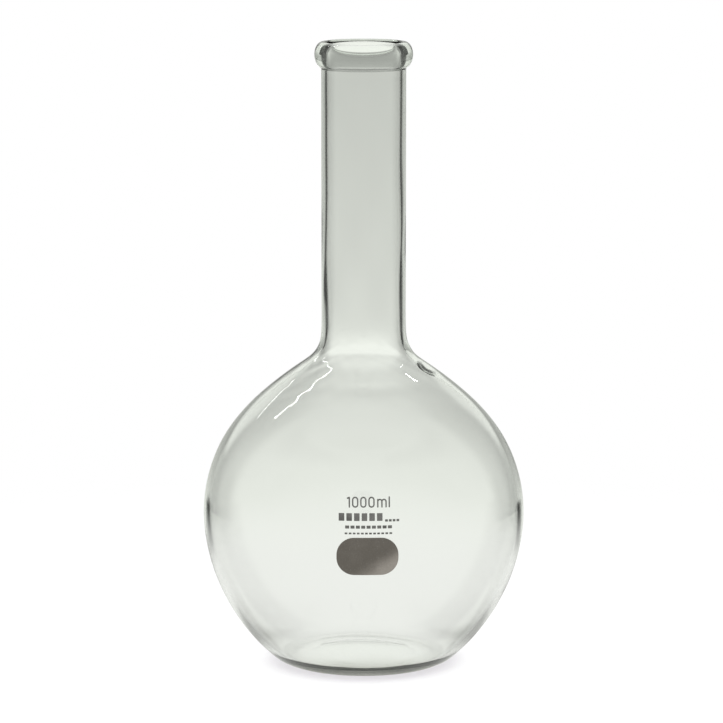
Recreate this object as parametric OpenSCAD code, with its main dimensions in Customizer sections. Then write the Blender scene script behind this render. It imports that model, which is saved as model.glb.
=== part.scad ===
// Flat-bottomed boiling flask, 1 litre, blown from one piece of borosilicate glass.
// It stands on its foot ring at z = 0, with its axis on Z, and its fired enamel print faces -Y.
// The wall is a chain of arcs. Each meets the next on the straight line through both their centres,
// so the outside and the inside run on smoothly from one arc to the next.

/* [Glass] */
// Outside diameter of the bulb at its widest
bulb_d = 131; // [129:0.5:133]
// Height from the foot to the top of the rim
total_h = 254; // [220:1:290]
// Outside diameter of the neck
neck_d = 34.2; // [33:0.1:36]
// Wall thickness of the bulb and the neck
wall = 1.8; // [1.4:0.1:2.2]
// Glass thickness in the base
base_wall = 2.6; // [2.2:0.1:3]

/* [Foot] */
// Outside radius of the curve between the foot and the wall
heel_r = 14.5; // [12:0.5:17]
// Radius of the hollow pushed up into the base
punt_r = 22; // [16:0.5:25]
// Height of that hollow at its middle
punt_h = 1; // [0.5:0.1:1.5]

/* [Rim] */
// Outside diameter of the beaded rim
rim_d = 39.7; // [38.6:0.1:41]
// Height of the bead
rim_h = 10.2; // [8:0.1:12]
// Radius of the bead's outer edges
rim_round = 3.6; // [3:0.1:3.8]

/* [Print] */
// Thickness of the fired enamel
print_t = 0.1; // [0.05:0.01:0.2]
// Stroke width of the capacity mark
stroke = 0.55; // [0.4:0.05:0.8]
// Height of the capacity mark's figures
figure_h = 4.2; // [3.6:0.1:5]
// Width of the write-on spot
spot_w = 24.4; // [18:0.2:30]
// Height of the write-on spot
spot_h = 15.2; // [13:0.1:16]

/* [Hidden] */

// Outside radii of the wall: below the widest point, round it, and above it
lower_r = 80;
belly_r = 62.8;
slope_r = 164;

// Angles above the horizontal where one arc meets the next
heel_a = -49;
lower_a = -8;
belly_a = 47;
slope_a = 57;

// Widest angle between two points of an arc: on the wall, on tight curves, and in the base
wall_step = 2;
tight_step = 6;
base_step = 0.9;
$fn = 120;

function u(a) = [cos(a), sin(a)];
function arc(centre, r, from, to, step = wall_step) =
    let (n = ceil(abs(to - from) / step))
    [for (i = [0:n]) centre + r * u(from + (to - from) * i / n)];
function backwards(points) = [for (i = [len(points) - 1:-1:0]) points[i]];

neck_r = neck_d / 2;
bore_r = neck_r - wall;

// Centres of the wall's arcs
lower_z = heel_r - (lower_r - heel_r) * sin(heel_a);
belly_c = [bulb_d / 2 - belly_r, lower_z + (lower_r - belly_r) * sin(lower_a)];
lower_c = belly_c - (lower_r - belly_r) * u(lower_a);
heel_c = lower_c + (lower_r - heel_r) * u(heel_a);
slope_c = belly_c - (slope_r - belly_r) * u(belly_a);
shoulder_r = (slope_c.x + slope_r * cos(slope_a) - neck_r) / (1 - cos(slope_a));
shoulder_c = slope_c + (slope_r + shoulder_r) * u(slope_a);

// The base is thicker than the wall, so the heel curves more tightly on its inside
inner_r = lower_r - wall;
inner_heel_r = (lower_z + inner_r * sin(heel_a) - base_wall) / (1 + sin(heel_a));
inner_heel_c = lower_c + (inner_r - inner_heel_r) * u(heel_a);

// The hollow under the base is a shallow cap of a big sphere, and the inside rises with it
punt_curve_r = (pow(punt_r, 2) + pow(punt_h, 2)) / (2 * punt_h);
punt_c = [0, punt_h - punt_curve_r];
dome_r = punt_curve_r + base_wall;

// The bead: its outer edges are round, and its top rolls over into the bore
rim_edge_x = rim_d / 2 - rim_round;
rim_low_z = total_h - rim_h + rim_round;
lip_r = rim_edge_x - bore_r;
crease_a = -acos((neck_r - rim_edge_x) / rim_round);

// Outside of the bulb from the heel to the slope, moved out by d
function bulb_outside(d) = concat(
    arc(lower_c, lower_r + d, heel_a, lower_a),
    arc(belly_c, belly_r + d, lower_a, 0),
    arc(belly_c, belly_r + d, 0, belly_a)
);

function outside() = concat(
    arc(punt_c, punt_curve_r, 90, acos(punt_r / punt_curve_r), base_step),
    arc(heel_c, heel_r, -90, heel_a, tight_step),
    bulb_outside(0),
    arc(slope_c, slope_r, belly_a, slope_a),
    arc(shoulder_c, shoulder_r, slope_a + 180, 180, tight_step),
    arc([rim_edge_x, rim_low_z], rim_round, crease_a, 0, tight_step),
    arc([rim_edge_x, total_h - rim_round], rim_round, 0, 90, tight_step)
);

function inside() = concat(
    arc(punt_c, dome_r, 90, asin((base_wall - punt_c.y) / dome_r), base_step),
    arc(inner_heel_c, inner_heel_r, -90, heel_a, tight_step),
    bulb_outside(-wall),
    arc(slope_c, slope_r - wall, belly_a, slope_a),
    arc(shoulder_c, shoulder_r + wall, slope_a + 180, 180, tight_step),
    arc([rim_edge_x, total_h - lip_r], lip_r, 180, 90, tight_step)
);

module flask_body() {
    color("lightcyan", 0.4)
        rotate_extrude()
            polygon(concat(outside(), backwards(inside())));
}

// Fired enamel: a flat drawing laid onto the front of the bulb, with x across and y up
module enamel() {
    intersection() {
        rotate_extrude()
            polygon(concat(bulb_outside(print_t), backwards(bulb_outside(0))));
        rotate([90, 0, 0])
            linear_extrude(bulb_d)
                children();
    }
}

// An upright outline with half-round ends
module stadium(w, h) {
    square([w, h - w], center = true);
    for (side = [-1, 1])
        translate([0, side * (h - w) / 2])
            circle(w / 2);
}

module figure_zero(w, h) {
    difference() {
        stadium(w, h);
        stadium(w - 2 * stroke, h - 2 * stroke);
    }
}

// A stem with a short flag to the left of its top
module figure_one(h) {
    flag = 0.8;
    polygon([
        [-stroke / 2, -h / 2], [stroke / 2, -h / 2], [stroke / 2, h / 2],
        [-stroke / 2, h / 2], [-stroke / 2 - flag, h / 2 - flag / 2],
        [-stroke / 2 - flag, h / 2 - flag / 2 - stroke], [-stroke / 2, h / 2 - stroke]
    ]);
}

// A small letter m standing on y = 0: two arches that share their middle leg
module letter_m(w, h) {
    arch_w = (w + stroke) / 2;
    intersection() {
        for (side = [-1, 1])
            translate([side * (arch_w - stroke) / 2, 0])
                figure_zero(arch_w, 2 * h);
        translate([-w / 2, 0])
            square([w, h]);
    }
    translate([-w / 2, 0])
        square([stroke, h]);
}

// Places along the capacity mark
mark_z = 78.2;
one_x = -7.5;
zero_x = -5.2;
zero_pitch = 3.2;
zero_w = 2.5;
m_x = 5.3;
m_w = 3.8;
l_x = 8.2;

module capacity_mark() {
    color("dimgray")
        enamel()
            translate([0, mark_z]) {
                translate([one_x, 0])
                    figure_one(figure_h);
                for (i = [0:2])
                    translate([zero_x + i * zero_pitch, 0])
                        figure_zero(zero_w, figure_h);
                translate([m_x, -figure_h / 2])
                    letter_m(m_w, figure_h * 0.8);
                translate([l_x, 0])
                    square([stroke, figure_h], center = true);
            }
}

// Rows of plain bars: the height of the row's middle, where it starts, how many bars it has,
// and the width, gap and height of a bar
bar_rows = [
    [72.5, -11.7, 6, 2.2, 0.8, 3],
    [71.1, 6.5, 4, 1.1, 0.4, 0.9],
    [68.6, -9.2, 9, 1.6, 0.5, 1.2],
    [66.1, -9.4, 12, 1.1, 0.5, 0.7]
];

module print_bars() {
    color("dimgray")
        enamel()
            for (row = bar_rows)
                for (i = [0:row[2] - 1])
                    translate([row[1] + i * (row[3] + row[4]), row[0] - row[5] / 2])
                        square([row[3], row[5]]);
}

spot_x = -0.4;
spot_z = 56.8;
spot_corner = 6.2;

module marking_spot() {
    side_x = spot_w / 2 - spot_corner;
    side_y = spot_h / 2 - spot_corner;
    color("dimgray")
        enamel()
            translate([spot_x, spot_z]) {
                square([spot_w, 2 * side_y], center = true);
                square([2 * side_x, spot_h], center = true);
                for (x = [-side_x, side_x], y = [-side_y, side_y])
                    translate([x, y])
                        circle(spot_corner);
            }
}

flask_body();
capacity_mark();
print_bars();
marking_spot();
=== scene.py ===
"""A one-litre flat-bottomed boiling flask of clear glass with a fired enamel print, in a light studio."""

from math import ceil, cos, pi, radians, sin

import bpy
import numpy as np
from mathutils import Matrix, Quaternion, Vector


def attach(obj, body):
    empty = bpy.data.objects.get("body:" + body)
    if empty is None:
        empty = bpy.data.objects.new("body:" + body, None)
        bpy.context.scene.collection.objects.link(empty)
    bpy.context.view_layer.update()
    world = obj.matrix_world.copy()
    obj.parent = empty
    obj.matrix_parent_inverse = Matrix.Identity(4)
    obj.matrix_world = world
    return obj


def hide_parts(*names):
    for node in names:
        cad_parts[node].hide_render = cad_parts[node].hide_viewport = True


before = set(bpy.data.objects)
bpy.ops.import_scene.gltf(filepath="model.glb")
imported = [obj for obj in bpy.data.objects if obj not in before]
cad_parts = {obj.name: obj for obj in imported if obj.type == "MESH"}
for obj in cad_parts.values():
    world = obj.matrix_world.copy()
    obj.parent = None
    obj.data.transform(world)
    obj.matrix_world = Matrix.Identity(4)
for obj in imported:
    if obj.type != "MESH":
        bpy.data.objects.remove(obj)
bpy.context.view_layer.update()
MM = 0.001

# ---------------------------------------------------------------- the flask's profile, in mm
# The outside follows the CAD flask's own arcs. From the foot up they are the heel, the lower bulb,
# the belly and the slope, and each ends at its own angle from the horizontal.
BULB_R, TOTAL_H, NECK_R, RIM_R = 65.5, 254.0, 17.1, 19.85
LOWER_R, BELLY_R, SLOPE_R, HEEL_R = 80.0, 62.8, 164.0, 14.5
HEEL_A, LOWER_A, BELLY_A, SLOPE_A = (radians(a) for a in (-49, -8, 47, 57))
PUNT_R, PUNT_H = 22.0, 1.0
# The wall has one thickness up to the mouth, and the base is thicker. The heel ends higher inside
WALL, BASE_WALL = 2.2, 2.8
HEEL_IN_A = radians(-46.5)
BORE_R = NECK_R - WALL
# The fire-polished bead is two quarter ellipses, one above its widest level and one below it
BEAD_Z, BEAD_UP, BEAD_DOWN, BEAD_FILLET = 249.0, 5.0, 5.3, 1.3
# The lip turns over into the mouth, which narrows to the bore on its way down
CREST_R, LIP_W, LIP_H = 16.6, 1.2, 1.3
MOUTH_Z, THROAT_Z, BORE_Z, STRAIGHT_Z = 249.5, 244.5, 241.0, 238.0
THROAT_R = BORE_R + 0.1


def u(a):
    """A step of 1 in the direction of an angle."""
    return np.array([cos(a), sin(a)])


def arc(centre, r, start, end, step_mm):
    """Points along an arc, without its last one. A pair for r gives an ellipse's two half-axes."""
    rx, ry = r if isinstance(r, tuple) else (r, r)
    n = max(2, ceil(abs(end - start) * max(rx, ry) / step_mm))
    t = np.linspace(start, end, n, endpoint=False)
    return np.array(centre) + np.column_stack([rx * np.cos(t), ry * np.sin(t)])


def line(a, b, step_mm):
    """Points along a straight line, without its last one."""
    a, b = np.array(a, float), np.array(b, float)
    n = max(1, ceil(np.linalg.norm(b - a) / step_mm))
    return a + (b - a) * np.linspace(0, 1, n, endpoint=False)[:, None]


def flow(points, step_mm):
    """A smooth curve through a few heights, given as (radius, height) with heights in order."""
    points = np.array(points, float)
    p, q = points[:-1], points[1:]
    slope = np.gradient(points[:, 0], points[:, 1])
    rows = []
    for (r0, z0), (r1, z1), m0, m1 in zip(p, q, slope[:-1], slope[1:]):
        t = np.linspace(0, 1, max(2, ceil(abs(z1 - z0) / step_mm)), endpoint=False)
        dz = z1 - z0
        r = ((2 * t**3 - 3 * t**2 + 1) * r0 + (t**3 - 2 * t**2 + t) * m0 * dz
             + (3 * t**2 - 2 * t**3) * r1 + (t**3 - t**2) * m1 * dz)
        rows.append(np.column_stack([r, z0 + dz * t]))
    return np.vstack(rows)


lower_z = HEEL_R - (LOWER_R - HEEL_R) * sin(HEEL_A)
belly_c = np.array([BULB_R - BELLY_R, lower_z + (LOWER_R - BELLY_R) * sin(LOWER_A)])
lower_c = belly_c - (LOWER_R - BELLY_R) * u(LOWER_A)
heel_c = lower_c + (LOWER_R - HEEL_R) * u(HEEL_A)
slope_c = belly_c - (SLOPE_R - BELLY_R) * u(BELLY_A)
shoulder_r = (slope_c[0] + SLOPE_R * cos(SLOPE_A) - NECK_R) / (1 - cos(SLOPE_A))
shoulder_c = slope_c + (SLOPE_R + shoulder_r) * u(SLOPE_A)
punt_curve_r = (PUNT_R**2 + PUNT_H**2) / (2 * PUNT_H)
punt_c = np.array([0, PUNT_H - punt_curve_r])


def bulb_r(z):
    """Outside radius of the bulb at the heights that the print covers."""
    z = np.asarray(z, float)
    low = lower_c[0] + np.sqrt(LOWER_R**2 - (z - lower_c[1]) ** 2)
    high = belly_c[0] + np.sqrt(BELLY_R**2 - (z - belly_c[1]) ** 2)
    return np.where(z < belly_c[1] + BELLY_R * sin(LOWER_A), low, high)


def bead(start, end, n):
    """The bead's outer face between two angles, measured from its widest level."""
    t = np.linspace(start, end, n)
    high = np.where(t < 0, BEAD_DOWN, BEAD_UP)
    return np.column_stack([CREST_R + (RIM_R - CREST_R) * np.cos(t), BEAD_Z + high * np.sin(t)])


def outer_profile():
    """From the middle of the base up to the crest of the bead."""
    # the fillet touches the neck and the bead's lower curve: its centre is where their offsets meet
    fine, skip = 300, 8
    low = bead(-pi / 2, 0, fine)
    along = np.gradient(low, axis=0)
    outward = np.column_stack([along[:, 1], -along[:, 0]]) / np.linalg.norm(along, axis=1)[:, None]
    offset = low + BEAD_FILLET * outward
    touch = np.searchsorted(offset[:, 0], NECK_R + BEAD_FILLET)
    fillet_c = offset[touch]
    tilt = np.arctan2(-outward[touch, 1], -outward[touch, 0])
    return np.vstack([
        arc(punt_c, punt_curve_r, pi / 2, np.arccos(PUNT_R / punt_curve_r), 1.4),
        line([PUNT_R, 0], [heel_c[0], 0], 1.0),
        arc(heel_c, HEEL_R, -pi / 2, HEEL_A, 0.7),
        arc(lower_c, LOWER_R, HEEL_A, LOWER_A, 1.2),
        arc(belly_c, BELLY_R, LOWER_A, BELLY_A, 1.2),
        arc(slope_c, SLOPE_R, BELLY_A, SLOPE_A, 0.6),
        arc(shoulder_c, shoulder_r, SLOPE_A + pi, pi, 0.5),
        line([NECK_R, shoulder_c[1]], [NECK_R, fillet_c[1]], 1.5),
        arc(fillet_c, BEAD_FILLET, pi, tilt, 0.12),
        low[touch:-1:skip],
        bead(0, pi / 2, 40),
    ])


def inner_profile():
    """From the lip down to the middle of the base."""
    inner_r = LOWER_R - WALL
    heel_in_r = (lower_z + inner_r * sin(HEEL_IN_A) - BASE_WALL) / (1 + sin(HEEL_IN_A))
    heel_in_c = lower_c + (inner_r - heel_in_r) * u(HEEL_IN_A)
    dome_r = punt_curve_r + BASE_WALL
    dome_a = np.arcsin((BASE_WALL - punt_c[1]) / dome_r)
    mouth_r = CREST_R - LIP_W
    mouth_z = TOTAL_H - LIP_H
    return np.vstack([
        arc([CREST_R, mouth_z], (LIP_W, LIP_H), pi / 2, pi, 0.12),
        flow([(mouth_r, mouth_z), (mouth_r, MOUTH_Z), (THROAT_R, THROAT_Z), (BORE_R, BORE_Z),
              (BORE_R, STRAIGHT_Z)], 0.3),
        line([BORE_R, STRAIGHT_Z], [BORE_R, shoulder_c[1]], 1.5),
        arc(shoulder_c, shoulder_r + WALL, pi, SLOPE_A + pi, 0.5),
        arc(slope_c, SLOPE_R - WALL, SLOPE_A, BELLY_A, 0.6),
        arc(belly_c, BELLY_R - WALL, BELLY_A, LOWER_A, 1.2),
        arc(lower_c, inner_r, LOWER_A, HEEL_IN_A, 1.2),
        arc(heel_in_c, heel_in_r, HEEL_IN_A, -pi / 2, 0.6),
        line([heel_in_c[0], BASE_WALL], punt_c + dome_r * u(dome_a), 1.2),
        arc(punt_c, dome_r, dome_a, pi / 2, 1.4),
        [[0.0, punt_c[1] + dome_r]],
    ])


# ---------------------------------------------------------------- mesh and node helpers
def add_piece(name, verts_mm, faces, material):
    mesh = bpy.data.meshes.new(name)
    mesh.from_pydata((np.asarray(verts_mm) * MM).tolist(), [], faces)
    mesh.validate()
    mesh.shade_smooth()
    mesh.materials.append(material)
    piece = bpy.data.objects.new(name, mesh)
    bpy.context.scene.collection.objects.link(piece)
    return piece


class Nodes:
    """Short hands for building a node tree out of numbers and sockets."""

    def __init__(self, tree):
        self.tree = tree
        tree.nodes.clear()

    def node(self, kind, **inputs):
        node = self.tree.nodes.new(kind)
        for name, value in inputs.items():
            self.put(node.inputs[name.replace("_", " ")], value)
        return node

    def put(self, socket, value):
        if isinstance(value, bpy.types.NodeSocket):
            self.tree.links.new(value, socket)
        else:
            socket.default_value = value

    def math(self, op, *args):
        node = self.tree.nodes.new("ShaderNodeMath")
        node.operation = op
        for socket, value in zip(node.inputs, args):
            self.put(socket, value)
        return node.outputs[0]

    def times(self, first, *others):
        """The product of several numbers."""
        for other in others:
            first = self.math("MULTIPLY", first, other)
        return first

    def where(self):
        """The place on the object, in metres."""
        return self.tree.nodes.new("ShaderNodeTexCoord").outputs["Object"]

    def split(self, vector):
        """The x, y and z of a vector."""
        return self.node("ShaderNodeSeparateXYZ", Vector=vector).outputs

    def degrees_of(self, x, y):
        """The angle from the y axis towards the x axis."""
        return self.times(self.math("ARCTAN2", x, y), 180 / pi)

    def between(self, value, low, high, to_low=0.0, to_high=1.0):
        """A number that runs smoothly from to_low to to_high as value goes from low to high."""
        node = self.node("ShaderNodeMapRange", Value=value, From_Min=low, From_Max=high,
                         To_Min=to_low, To_Max=to_high)
        node.interpolation_type = "SMOOTHSTEP"
        return node.outputs["Result"]

    def noise(self, scale, detail, roughness=0.5):
        return self.node("ShaderNodeTexNoise", Vector=self.where(), Scale=scale, Detail=detail,
                         Roughness=roughness).outputs["Fac"]

    def ramp(self, value, stops, style="EASE"):
        """A colour that follows value through (position, colour) stops."""
        lo, hi = stops[0][0], stops[-1][0]
        m = self.node("ShaderNodeMapRange", Value=value, From_Min=lo, From_Max=hi)
        node = self.tree.nodes.new("ShaderNodeValToRGB")
        node.color_ramp.interpolation = style
        els = node.color_ramp.elements
        while len(els) > 1:
            els.remove(els[-1])
        for k, (pos, col) in enumerate(stops):
            e = els[0] if k == 0 else els.new((pos - lo) / (hi - lo))
            e.position = (pos - lo) / (hi - lo)
            e.color = (*col, 1)
        self.put(node.inputs["Fac"], m.outputs["Result"])
        return node.outputs["Color"]

    def mix(self, fac, a, b, blend="MIX"):
        node = self.tree.nodes.new("ShaderNodeMix")
        node.data_type, node.blend_type = "RGBA", blend
        self.put(node.inputs[0], fac)
        self.put(node.inputs[6], a)
        self.put(node.inputs[7], b)
        return node.outputs[2]

    def blend(self, fac, a, b):
        """A mix of two shaders."""
        node = self.tree.nodes.new("ShaderNodeMixShader")
        self.put(node.inputs[0], fac)
        self.put(node.inputs[1], a)
        self.put(node.inputs[2], b)
        return node.outputs[0]


def new_material(name):
    mat = bpy.data.materials.new(name)
    mat.use_nodes = True
    return mat, Nodes(mat.node_tree)


# ---------------------------------------------------------------- glass
AROUND = 320  # columns of points round the axis
rng = np.random.default_rng(11)
# The stretch of the wall, in height, that is evened out where the bulb runs into the neck
SHOULDER_LOW, SHOULDER_HIGH, SHOULDER_PASSES = 88, 155, 40
# Where the neck was sealed on, in degrees from the front towards the right, and its heights
SEAM_LEFT, SEAM_RIGHT = -48, 42
SEAM_HEIGHTS = (108, 120, 128, 137)
DRAWN_HEIGHTS = (6, 30, 225, 243)  # the heights that the slow unevenness of the inside covers


def ease(t):
    """From 0 to 1, slow at both ends."""
    t = np.clip(t, 0, 1)
    return t ** 2 * (3 - 2 * t)


def window(z, low0, low1, high0, high1):
    """1 between low1 and high0, easing to 0 at low0 and high1."""
    return ease((z - low0) / (low1 - low0)) * ease((high1 - z) / (high1 - high0))


def turn_from(theta, angle):
    """How far round theta is from an angle that counts from the front towards the right."""
    return (theta - radians(angle - 90) + pi) % (2 * pi) - pi


def waves(count, turns, wavelength, height):
    """A sum of random ripples: whole turns around the axis, and a wavelength along it."""
    parts = [(rng.integers(*turns), 2 * pi / rng.uniform(*wavelength) * rng.choice([-1, 1]),
              rng.uniform(0, 2 * pi)) for _ in range(count)]
    return lambda theta, z: height / count**0.5 * sum(np.cos(m * theta + k * z + p) for m, k, p in parts)


def lump(angle, height_z, across, along, rise):
    """A rounded swelling at an angle from the front, positive to the right."""
    def shape(theta, z, r):
        turn = turn_from(theta, angle)
        return rise * np.exp(-0.5 * ((turn * r / across) ** 2 + ((z - height_z) / along) ** 2))
    return shape


shoulder_ripple = waves(9, (8, 26), (4.0, 9.0), 0.040)
shoulder_ripple_in = waves(9, (6, 20), (5.0, 12.0), 0.030)
drawn_in = waves(6, (1, 6), (40.0, 90.0), 0.05)
# Lumps on each side of the wall: angle, height, half-width across and along, and rise
OUT_LUMPS = [
    lump(80, 129.5, 2.6, 2.0, 0.35),
    lump(-12, 9.5, 3.0, 2.0, -0.12),
    lump(21, 9.5, 3.0, 2.0, -0.12),
]
IN_LUMPS = [
    lump(77, 120.8, 2.4, 1.2, -1.0),
    lump(8, 117.0, 14.0, 1.6, -0.12),
]


def seam(theta, z):
    """Where the neck was sealed on and worked: most on the left, a little on the right."""
    left = np.exp(-((turn_from(theta, SEAM_LEFT) / radians(20)) ** 2))
    right = np.exp(-((turn_from(theta, SEAM_RIGHT) / radians(18)) ** 2))
    return (0.08 + 0.92 * left + 0.15 * right) * window(z, *SEAM_HEIGHTS)


def outer_unevenness(theta, z, r):
    """How far the outside stands out from its smooth profile."""
    ripple = shoulder_ripple(theta, z) * seam(theta, z)
    return ripple + sum(shape(theta, z, r) for shape in OUT_LUMPS)


def inner_unevenness(theta, z, r):
    """Measured from the inside surface outward, so a negative lump makes the wall thicker."""
    ripple = shoulder_ripple_in(theta, z) * seam(theta, z)
    slow = drawn_in(theta, z) * window(z, *DRAWN_HEIGHTS)
    return ripple + slow + sum(shape(theta, z, r) for shape in IN_LUMPS)


def relax(profile, low_z, high_z, passes):
    """Evens out a stretch of the profile, because blown glass has no sudden change of curve."""
    profile = profile.copy()
    share = window(profile[1:-1, 1], low_z, low_z + 20, high_z - 10, high_z)[:, None]
    for _ in range(passes):
        even = (profile[:-2] + 2 * profile[1:-1] + profile[2:]) / 4
        profile[1:-1] += share * (even - profile[1:-1])
    return profile


def glass_skin():
    """One closed skin: up the outside from the middle of the base, and down the inside."""
    theta = np.linspace(0, 2 * pi, AROUND, endpoint=False)[None, :]
    rings, poles = [], []
    for profile, uneven, side in ((outer_profile(), outer_unevenness, 1),
                                  (inner_profile(), inner_unevenness, -1)):
        profile = relax(profile, SHOULDER_LOW, SHOULDER_HIGH, SHOULDER_PASSES)
        along = np.gradient(profile, axis=0)
        along /= np.linalg.norm(along, axis=1)[:, None]
        normal = side * np.column_stack([along[:, 1], -along[:, 0]])
        start, end = (1, None) if side == 1 else (0, -1)
        poles.append(profile[0] if side == 1 else profile[-1])
        r, z = (profile[start:end, k][:, None] for k in (0, 1))
        move = uneven(theta, z, np.maximum(r, 1.0))
        r, z = (a + move * normal[start:end, k][:, None] for a, k in ((r, 0), (z, 1)))
        rings.append(np.stack([r * np.cos(theta), r * np.sin(theta), z], axis=-1))
    rings = np.concatenate(rings)
    n = len(rings)
    verts = np.vstack([[[0, 0, poles[0][1]]], rings.reshape(-1, 3), [[0, 0, poles[1][1]]]])
    i = np.arange(n - 1)[:, None] * AROUND + 1
    j, k = np.arange(AROUND), (np.arange(AROUND) + 1) % AROUND
    quads = np.stack([i + j, i + k, i + AROUND + k, i + AROUND + j], axis=-1).reshape(-1, 4)
    last = 1 + (n - 1) * AROUND
    top = len(verts) - 1
    faces = [(0, 1 + b, 1 + a) for a, b in zip(j.tolist(), k.tolist())]
    faces += quads.tolist()
    faces += [(top, last + a, last + b) for a, b in zip(j.tolist(), k.tolist())]
    return verts, faces


def glass_material():
    """Clear borosilicate, faintly grey-green where light runs far in it."""
    mat, n = new_material("borosilicate_glass")
    slow_wave = n.noise(55.0, 1.0)
    handling = n.between(n.noise(38.0, 6.0, 0.62), 0.58, 0.78, 0.0, 0.022)
    # the ring that it stands on is scuffed, from the edge of the hollow outwards
    x, y, z = n.split(n.where())
    out = n.math("SQRT", n.math("ADD", n.times(x, x), n.times(y, y)))
    foot_ring = n.times(n.between(z, 1.6 * MM, 0.8 * MM), n.between(out, PUNT_R * MM, 32 * MM))
    roughness = n.math("ADD", handling, n.times(foot_ring, 0.25))
    bump = n.node("ShaderNodeBump", Strength=0.25, Distance=0.00004, Height=slow_wave)
    bsdf = n.node("ShaderNodeBsdfPrincipled", Base_Color=(1, 1, 1, 1), Roughness=roughness, IOR=1.47,
                  Transmission_Weight=1.0, Normal=bump.outputs["Normal"])
    haze = n.node("ShaderNodeVolumeAbsorption", Color=(0.62, 0.80, 0.60, 1), Density=12.0)
    n.node("ShaderNodeOutputMaterial", Surface=bsdf.outputs["BSDF"], Volume=haze.outputs["Volume"])
    return mat


glass = add_piece("glass_flask", *glass_skin(), glass_material())
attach(glass, "root")
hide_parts("flask_body")

# ---------------------------------------------------------------- enamel print
# Places are the CAD print's own, in mm: x across the front, z up from the foot
FIRED, SUNK = 0.075, 0.03  # how far the enamel stands out of the glass, and reaches into it
THIN_EDGE, EDGE_W = 0.35, 0.25  # an edge's share of the full thickness, and how wide it is
STROKE, FIGURE_H, MARK_Z = 0.55, 4.2, 78.2
PEN_R = STROKE / 2
ONE_X, ZERO_X, ZERO_PITCH, ZERO_W = -7.5, -5.2, 3.2, 2.5
FLAG_W, FLAG_H = 0.95, 0.75  # the short stroke at the top of the figure 1
M_X, M_W, M_H, L_X = 5.3, 3.8, 0.8 * FIGURE_H, 8.2
# Rows of plain bars: middle height, left end, number, and a bar's width, gap and height
BAR_ROWS = [
    (72.5, -11.7, 6, 2.2, 0.8, 3.0),
    (71.1, 6.5, 4, 1.1, 0.4, 0.9),
    (68.6, -9.2, 9, 1.6, 0.5, 1.2),
    (66.1, -9.4, 12, 1.1, 0.5, 0.7),
]
BAR_CORNER = 0.12
SPOT_X, SPOT_Z, SPOT_W, SPOT_H, SPOT_CORNER = -0.4, 56.8, 24.4, 15.2, 7.0
SHEEN_LEAN = 0.6  # how much the spot's painted sheen goes sideways, beside 1 downwards


class Print:
    """Closed pads of enamel that follow the bulb, gathered into one mesh."""

    def __init__(self):
        self.verts, self.faces, self.count = [], [], 0

    def slab(self, x, z, thick, closed=False):
        """A pad over a grid of places. A closed one joins its last row to its first."""
        rows, cols = x.shape
        for lift in (thick, np.full_like(thick, -SUNK)):
            r = bulb_r(z) + lift
            self.verts.append(np.stack([x, -np.sqrt(r**2 - x**2), z], axis=-1).reshape(-1, 3))
        front, back = self.count, self.count + rows * cols
        self.count += 2 * rows * cols

        def at(base, i, j):
            return base + (i % rows) * cols + j
        for i in range(rows if closed else rows - 1):
            for j in range(cols - 1):
                self.faces.append([at(front, i, j), at(front, i, j + 1),
                                   at(front, i + 1, j + 1), at(front, i + 1, j)])
                self.faces.append([at(back, i, j), at(back, i + 1, j),
                                   at(back, i + 1, j + 1), at(back, i, j + 1)])
            for j, flip in ((0, False), (cols - 1, True)):
                side = [at(front, i, j), at(front, i + 1, j), at(back, i + 1, j), at(back, i, j)]
                self.faces.append(side[::-1] if flip else side)
        if not closed:
            for i, flip in ((0, True), (rows - 1, False)):
                for j in range(cols - 1):
                    side = [at(front, i, j), at(front, i, j + 1), at(back, i, j + 1), at(back, i, j)]
                    self.faces.append(side[::-1] if flip else side)

    def pad(self, x, z, w, h, corner, rows, cols):
        """A rectangle with round corners, centred on x and z, thinning towards its edges."""
        t = np.sin(np.linspace(-pi / 2, pi / 2, rows))
        dz = h / 2 * t
        past = np.clip(np.abs(dz) - (h / 2 - corner), 0, corner)
        half = w / 2 - corner + np.sqrt(corner**2 - past**2)
        s = np.sin(np.linspace(-pi / 2, pi / 2, cols))
        edge = np.minimum((1 - np.abs(s))[None, :] * half[:, None], (h / 2 - np.abs(dz))[:, None])
        thick = FIRED * (THIN_EDGE + (1 - THIN_EDGE) * np.clip(edge / EDGE_W, 0, 1) ** 0.5)
        self.slab(x + half[:, None] * s[None, :], z + dz[:, None] + 0 * s[None, :], thick)

    def stroke(self, path, closed=False):
        """A pen stroke along a path, with round ends unless it closes on itself."""
        path = np.array(path, float)
        if closed:
            along = np.roll(path, -1, 0) - np.roll(path, 1, 0)
            half = np.full(len(path), PEN_R)
        else:
            far = np.concatenate([[0], np.cumsum(np.linalg.norm(np.diff(path, axis=0), axis=1))])
            n = max(24, ceil(far[-1] / 0.1))
            place = far[-1] * (0.5 + 0.5 * np.sin(np.linspace(-pi / 2, pi / 2, n)))
            path = np.column_stack([np.interp(place, far, path[:, k]) for k in (0, 1)])
            along = np.gradient(path, axis=0)
            to_end = np.minimum(place, far[-1] - place)
            half = PEN_R * np.sqrt(1 - (1 - np.clip(to_end / PEN_R, 0.02, 1)) ** 2)
        along /= np.linalg.norm(along, axis=1)[:, None]
        across = np.column_stack([-along[:, 1], along[:, 0]])
        s = np.linspace(1, -1, 7)
        x, z = (path[:, k][:, None] + across[:, k][:, None] * half[:, None] * s for k in (0, 1))
        thick = FIRED * (THIN_EDGE + (1 - THIN_EDGE) * np.sqrt(1 - s**2))[None, :] + 0 * x
        self.slab(x, z, thick, closed)

    def finish(self, name, material, node):
        piece = add_piece(name, np.vstack(self.verts), self.faces, material)
        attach(piece, "root")
        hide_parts(node)


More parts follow.
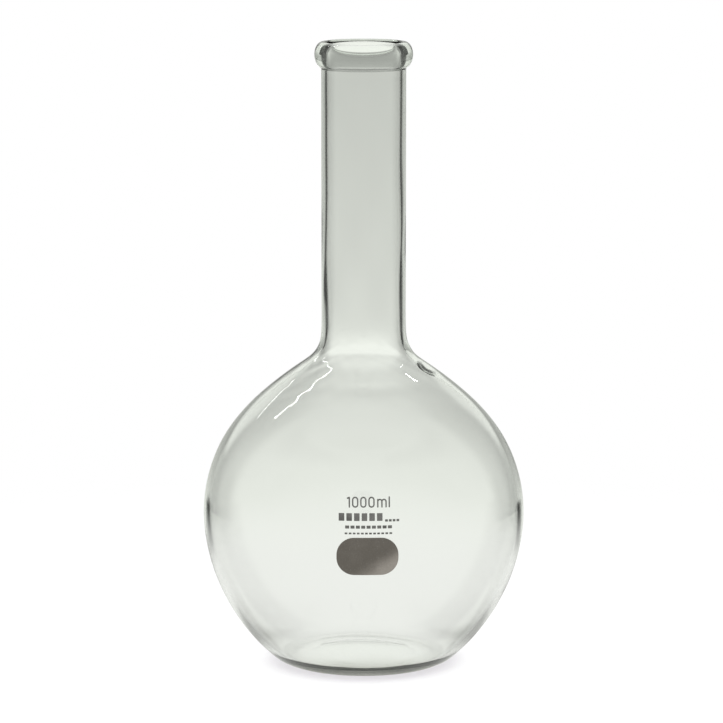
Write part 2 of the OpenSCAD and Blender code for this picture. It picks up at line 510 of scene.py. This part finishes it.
def enamel_material(name, dark, light, painted_sheen=False):
    """Fired grey enamel: fine grain, pinholes, and a matt surface that is thinner in places. For the
    marking spot, a painted sheen also lightens it towards the lower right.
    """
    mat, n = new_material(name)
    grain = n.noise(2600.0, 3.0, 0.6)
    cloud = n.noise(190.0, 3.0, 0.55)
    wear_and_sheen = n.between(cloud, 0.3, 0.7)
    if painted_sheen:
        # a painted sheen: lighter towards the lower right
        x, _, z = n.split(n.where())
        slant = n.math("SUBTRACT", n.times(x, SHEEN_LEAN), z)
        middle = (SHEEN_LEAN * SPOT_X - SPOT_Z) * MM
        slope = n.between(slant, middle + 1.0 * MM, middle + 12.0 * MM)
        wear_and_sheen = n.math("ADD", n.times(slope, 0.85), n.times(wear_and_sheen, 0.15))
    base = n.ramp(wear_and_sheen, [(0.0, dark), (1.0, light)])
    speck = n.between(grain, 0.25, 0.75, 0.86, 1.12)
    tone = n.mix(1.0, base, speck, "MULTIPLY")
    dots = n.tree.nodes.new("ShaderNodeTexVoronoi")
    n.put(dots.inputs["Vector"], n.where())
    n.put(dots.inputs["Scale"], 1500.0)
    pinhole = n.between(dots.outputs["Distance"], 0.05, 0.16)
    colour = n.mix(pinhole, (0.30, 0.30, 0.29, 1), tone)
    rough = n.between(grain, 0.3, 0.7, 0.42, 0.60)
    bump = n.node("ShaderNodeBump", Strength=0.5, Distance=0.00002, Height=grain)
    bsdf = n.node("ShaderNodeBsdfPrincipled", Base_Color=colour, Roughness=rough, IOR=1.5,
                  Normal=bump.outputs["Normal"])
    n.node("ShaderNodeOutputMaterial", Surface=bsdf.outputs["BSDF"])
    return mat


def stadium_path(w, h):
    """The middle line of an upright ring with half-round ends."""
    r = w / 2
    step = r * pi / 16
    top = arc([0, h / 2 - r], r, 0, pi, step)
    foot = arc([0, r - h / 2], r, pi, 2 * pi, step)
    left = line([-r, h / 2 - r], [-r, r - h / 2], 0.15)
    right = line([r, r - h / 2], [r, h / 2 - r], 0.15)
    return np.vstack([top, left, foot, right])


def capacity_mark():
    """The capacity in plain strokes: a 1, three noughts, an m with two arches, and an l."""
    ink = Print()
    half_h = FIGURE_H / 2
    foot, head = MARK_Z - half_h, MARK_Z + half_h
    ink.stroke([(ONE_X - FLAG_W, head - FLAG_H), (ONE_X, head - PEN_R), (ONE_X, foot)])
    ring = stadium_path(ZERO_W - STROKE, FIGURE_H - STROKE)
    for i in range(3):
        ink.stroke(ring + [ZERO_X + i * ZERO_PITCH, MARK_Z], closed=True)
    legs = [M_X - M_W / 2 + PEN_R, M_X, M_X + M_W / 2 - PEN_R]
    ink.stroke([(legs[0], foot), (legs[0], foot + M_H)])
    for a, b in zip(legs, legs[1:]):
        r = (b - a) / 2
        spring = foot + M_H - PEN_R - r
        arch = arc([a + r, spring], r, pi, 0, 0.06)
        ink.stroke(np.vstack([arch, [(b, spring), (b, foot)]]))
    ink.stroke([(L_X, foot), (L_X, head)])
    ink.finish("capacity_mark_enamel", mark_ink, "capacity_mark")


def print_bars():
    ink = Print()
    for z, left, number, w, gap, h in BAR_ROWS:
        for i in range(number):
            ink.pad(left + i * (w + gap) + w / 2, z, w, h, BAR_CORNER, 13, 13)
    ink.finish("print_bars_enamel", bar_ink, "print_bars")


def marking_spot():
    ink = Print()
    ink.pad(SPOT_X, SPOT_Z, SPOT_W, SPOT_H, SPOT_CORNER, 61, 81)
    ink.finish("marking_spot_enamel", spot_ink, "marking_spot")


mark_ink = enamel_material("mark_enamel_print", (0.100, 0.098, 0.092), (0.150, 0.147, 0.140))
bar_ink = enamel_material("bars_enamel_print", (0.100, 0.098, 0.092), (0.155, 0.152, 0.145))
# the spot's light colour is mostly its painted sheen, towards its lower right
spot_ink = enamel_material("spot_enamel_print", (0.115, 0.101, 0.085), (0.32, 0.29, 0.26), painted_sheen=True)
capacity_mark()
print_bars()
marking_spot()

# ---------------------------------------------------------------- studio
scene = bpy.context.scene
scene.view_settings.view_transform = "Standard"
GREY_GREEN = (0.972, 1.0, 0.934)


def tint(v):
    """A grey with the glass's faint green cast."""
    return tuple(v * c for c in GREY_GREEN)


def light_table():
    """A lit white table. The glass shows it with more shade on it than the camera sees."""
    table_r, sides, gap = 0.6, 96, 0.0003
    points = [(table_r * cos(2 * pi * i / sides), table_r * sin(2 * pi * i / sides), -gap)
              for i in range(sides)]
    mesh = bpy.data.meshes.new("floor")
    mesh.from_pydata(points, [], [list(range(sides))])
    mat, n = new_material("studio_floor")
    where = n.where()
    x, y, _ = n.split(where)
    side = n.math("ABSOLUTE", x)
    far = n.node("ShaderNodeVectorMath")
    far.operation = "LENGTH"
    n.put(far.inputs[0], where)
    distance = far.outputs["Value"]
    # to the camera it is evenly lit, with a painted shadow making it a little darker where the foot
    # stands
    contact_shadow = n.between(distance, 0.047, 0.030)
    tone = n.ramp(contact_shadow, [(0.0, (0.86, 0.86, 0.86)), (1.0, (0.64, 0.62, 0.64))])
    lit = n.node("ShaderNodeEmission", Color=tone, Strength=1.0)
    white = n.node("ShaderNodeBsdfDiffuse", Color=(0.24, 0.24, 0.25, 1))
    both = n.tree.nodes.new("ShaderNodeAddShader")
    n.put(both.inputs[0], lit.outputs[0])
    n.put(both.inputs[1], white.outputs[0])
    # through the glass it is dimmer towards the front, with a ring of shade round the foot's sides
    shown = n.mix(n.between(y, 0.01, -0.06), (0.89, 0.90, 0.868, 1), (*tint(0.70), 1))
    ring = n.times(n.between(distance, 0.036, 0.054), n.between(distance, 0.105, 0.060),
                   n.between(y, 0.050, 0.018), n.between(side, 0.020, 0.045))
    shown = n.mix(n.times(ring, 0.55), shown, (0.12, 0.12, 0.11, 1))
    # and further off, behind the flask, the shade of a card lies on either side of the lit middle
    turn = n.degrees_of(side, y)
    card = n.times(n.between(turn, 28.0, 34.0), n.between(turn, 53.0, 41.0),
                   n.between(distance, 0.15, 0.23, 0.0, 0.4))
    shown = n.mix(card, shown, (0.05, 0.05, 0.05, 1))
    # the foot stands in its own shade
    under = n.times(n.between(y, 0.004, -0.028), n.between(distance, 0.040, 0.030))
    shown = n.mix(n.times(under, 0.62), shown, (0.40, 0.40, 0.34, 1))
    seen = n.node("ShaderNodeEmission", Color=shown, Strength=1.0)
    path = n.tree.nodes.new("ShaderNodeLightPath")
    surface = n.blend(path.outputs["Is Camera Ray"], seen.outputs[0], both.outputs[0])
    # the table fades into the white surround
    edge = n.between(distance, 0.14, 0.42)
    clear = n.node("ShaderNodeBsdfTransparent")
    n.node("ShaderNodeOutputMaterial", Surface=n.blend(edge, surface, clear.outputs[0]))
    mesh.materials.append(mat)
    table = bpy.data.objects.new("floor", mesh)
    scene.collection.objects.link(table)


BEHIND = 1.7  # azimuth of the middle of the lit backdrop, as the camera looks


def studio_world():
    """A lit backdrop between black cards, with an even grey studio round the front."""
    world = bpy.data.worlds.new("studio")
    scene.world = world
    world.use_nodes = True
    n = Nodes(world.node_tree)
    x, y, z = n.split(n.tree.nodes.new("ShaderNodeTexCoord").outputs["Generated"])
    az = n.degrees_of(x, y)
    el = n.times(n.math("ARCSINE", z), 180 / pi)
    backdrop = n.ramp(el, [(-90, tint(0.95)), (-13, tint(0.95)), (-11.5, tint(0.89)), (-10, tint(0.80)),
                           (-8, tint(0.67)), (-5, tint(0.57)), (5, tint(0.36)), (30, tint(0.25)),
                           (60, tint(0.5)), (90, tint(0.9))], "LINEAR")
    path = n.tree.nodes.new("ShaderNodeLightPath")
    once_mirrored = n.math("GREATER_THAN", path.outputs["Glossy Depth"], 0.5)
    twice_bent = n.math("GREATER_THAN", path.outputs["Transmission Depth"], 1.5)
    # low down, where the bulb shows them, the cards are narrower and stand closer together
    aside = n.math("ABSOLUTE", n.math("SUBTRACT", az, BEHIND))
    low = n.between(el, -7.8, -9.2)
    near_edge = n.between(aside, n.math("SUBTRACT", 26.0, n.times(low, 8.0)),
                          n.math("SUBTRACT", 41.0, n.times(low, 17.0)))
    turned = n.times(once_mirrored, twice_bent)
    narrowed = n.times(low, n.between(el, -17.0, -14.0), n.math("SUBTRACT", 1.0, n.times(turned, 0.85)))
    far_edge = n.math("ADD", aside, n.times(narrowed, 31.0))
    # light that the thick rim turns sideways meets them lower down as well
    reach = n.math("MAXIMUM", n.between(el, -21.0, -15.0),
                   n.times(once_mirrored, n.between(el, -60.0, -40.0)))
    card = n.times(near_edge, n.between(far_edge, 76.0, 62.0), n.between(el, 70.0, 45.0), reach)
    seen = n.mix(n.between(aside, 26.0, 36.0), backdrop, (*tint(0.7), 1))
    seen = n.mix(card, seen, (*tint(0.065), 1))
    # the inside of the base mirrors a low lit panel that stands behind the flask
    low_panel = n.times(n.between(el, 4.0, 8.0), n.between(el, 30.0, 22.0),
                        n.between(n.math("ABSOLUTE", az), 40.0, 30.0))
    seen = n.mix(n.times(low_panel, once_mirrored), seen, (*tint(0.9), 1))
    # matt things are lit by plain white from all sides, and the camera sees plain white
    once_diffused = n.math("GREATER_THAN", path.outputs["Diffuse Depth"], 0.5)
    seen = n.mix(once_diffused, seen, (1.1, 1.1, 1.1, 1))
    seen = n.mix(path.outputs["Is Camera Ray"], seen, (1.0, 1.0, 1.0, 1))
    sky = n.node("ShaderNodeBackground", Color=seen, Strength=1.0)
    n.node("ShaderNodeOutputWorld", Surface=sky.outputs[0])


STRIP_AWAY, SHOULDER_Z = 1.6, 0.11


def strip_light(name, azimuth, elevation, width, length, lean, power):
    """A thin soft strip aimed at the shoulder. Azimuth is from the front towards the right."""
    data = bpy.data.lights.new(name, "AREA")
    data.shape, data.size, data.size_y, data.energy = "RECTANGLE", width, length, power
    lamp = bpy.data.objects.new(name, data)
    a, e = radians(azimuth), radians(elevation)
    back = Vector((sin(a) * cos(e), -cos(a) * cos(e), sin(e)))
    lamp.location = Vector((0, 0, SHOULDER_Z)) + back * STRIP_AWAY
    aim = (-back).to_track_quat("-Z", "Y") @ Quaternion((0, 0, 1), radians(lean))
    lamp.rotation_euler = aim.to_euler()
    lamp.visible_camera = False
    lamp.visible_transmission = False
    scene.collection.objects.link(lamp)


light_table()
studio_world()
strip_light("back_left_strip", -130, 48, 0.030, 0.62, 24, 1.0)
strip_light("low_left_strip", -144, 27, 0.020, 0.30, 65, 0.15)
strip_light("back_right_strip", 134.5, 49, 0.010, 0.16, 0, 0.12)

# The camera stands a little above the rim and to the left, and looks slightly down
CAMERA_AWAY, CAMERA_Z = 1.5, 0.3669
CAMERA_LEFT, CAMERA_TURN, CAMERA_DOWN = 1.7, 1.6662, 9.2018  # in degrees
cam_data = bpy.data.cameras.new("camera")
cam_data.sensor_width, cam_data.lens = 36.0, 185.83
cam_data.clip_start, cam_data.clip_end = 0.05, 20
cam = bpy.data.objects.new("camera", cam_data)
stand = radians(-CAMERA_LEFT)
cam.location = (CAMERA_AWAY * sin(stand), -CAMERA_AWAY * cos(stand), CAMERA_Z)
cam.rotation_euler = (radians(90 - CAMERA_DOWN), 0, radians(-CAMERA_TURN))
scene.collection.objects.link(cam)
scene.camera = cam
